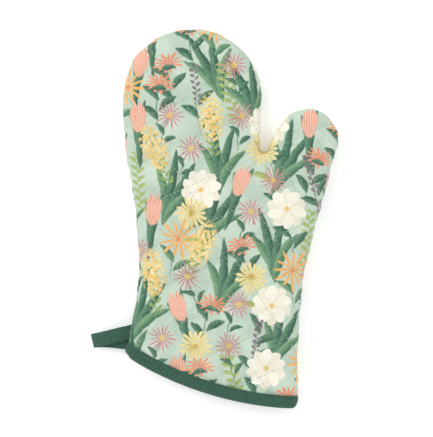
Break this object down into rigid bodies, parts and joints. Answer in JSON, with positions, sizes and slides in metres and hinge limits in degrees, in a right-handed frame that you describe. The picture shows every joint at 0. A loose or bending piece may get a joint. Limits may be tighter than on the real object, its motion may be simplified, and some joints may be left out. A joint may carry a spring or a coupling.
{
  "type": "oven mitt",
  "caption": "Quilted cotton oven mitt with a finger pocket, a thumb pocket, a slanted bound cuff and a fabric hang loop at its side, lying flat.",
  "frame": {"origin": "middle of the mitt's outline, on the surface that its back face lies on", "axes": "+Y from the cuff towards the fingertips, +X towards the thumb, +Z out of the front face, through the mitt's thickness"},
  "size_m": [0.217, 0.3302, 0.03],
  "materials": {
    "printed_cotton": "matt plain weave, printed with a meadow of flowers on pale mint",
    "wadding": "loose polyester batting",
    "lining_cotton": "matt undyed plain weave",
    "quilting_thread": "matt polyester thread, pale green",
    "seam_thread": "matt polyester thread, pale green",
    "binding_tape": "matt plain weave, dyed sage green",
    "tape_thread": "matt polyester thread, sage green"
  },
  "bodies": {
    "hand": {"front_shell": "printed_cotton", "front_wadding": "wadding", "front_lining": "lining_cotton", "front_quilting_thread": "quilting_thread", "back_shell": "printed_cotton", "back_wadding": "wadding", "back_lining": "lining_cotton", "back_quilting_thread": "quilting_thread", "side_seam_thread": "seam_thread", "cuff_binding": "binding_tape", "binding_stitches": "tape_thread", "hang_loop_ends": "binding_tape"},
    "fingers": {"front_shell_fingers": "printed_cotton", "front_wadding_fingers": "wadding", "front_lining_fingers": "lining_cotton", "front_quilting_thread_fingers": "quilting_thread", "back_shell_fingers": "printed_cotton", "back_wadding_fingers": "wadding", "back_lining_fingers": "lining_cotton", "back_quilting_thread_fingers": "quilting_thread", "side_seam_thread_fingers": "seam_thread"},
    "thumb": {"front_shell_thumb": "printed_cotton", "front_wadding_thumb": "wadding", "front_lining_thumb": "lining_cotton", "front_quilting_thread_thumb": "quilting_thread", "back_shell_thumb": "printed_cotton", "back_wadding_thumb": "wadding", "back_lining_thumb": "lining_cotton", "back_quilting_thread_thumb": "quilting_thread", "side_seam_thread_thumb": "seam_thread"},
    "loop": {"hang_loop": "binding_tape", "loop_stitches": "tape_thread"}
  },
  "joints": [
    {"name": "finger_fold", "type": "hinge", "parent": "hand", "child": "fingers", "pos_m": [-0.0159, 0.06728, 0.03], "axis": [1, 0, 0], "range_deg": [0, 70]},
    {"name": "thumb_fold", "type": "hinge", "parent": "hand", "child": "thumb", "pos_m": [0.04258, 0.05928, 0.03], "axis": [0.766, -0.6428, 0], "range_deg": [0, 50]},
    {"name": "loop_swing", "type": "hinge", "parent": "hand", "child": "loop", "pos_m": [-0.07686, -0.10047, 0.015], "axis": [-0.225, 0.9744, 0], "range_deg": [0, 75]}
  ]
}
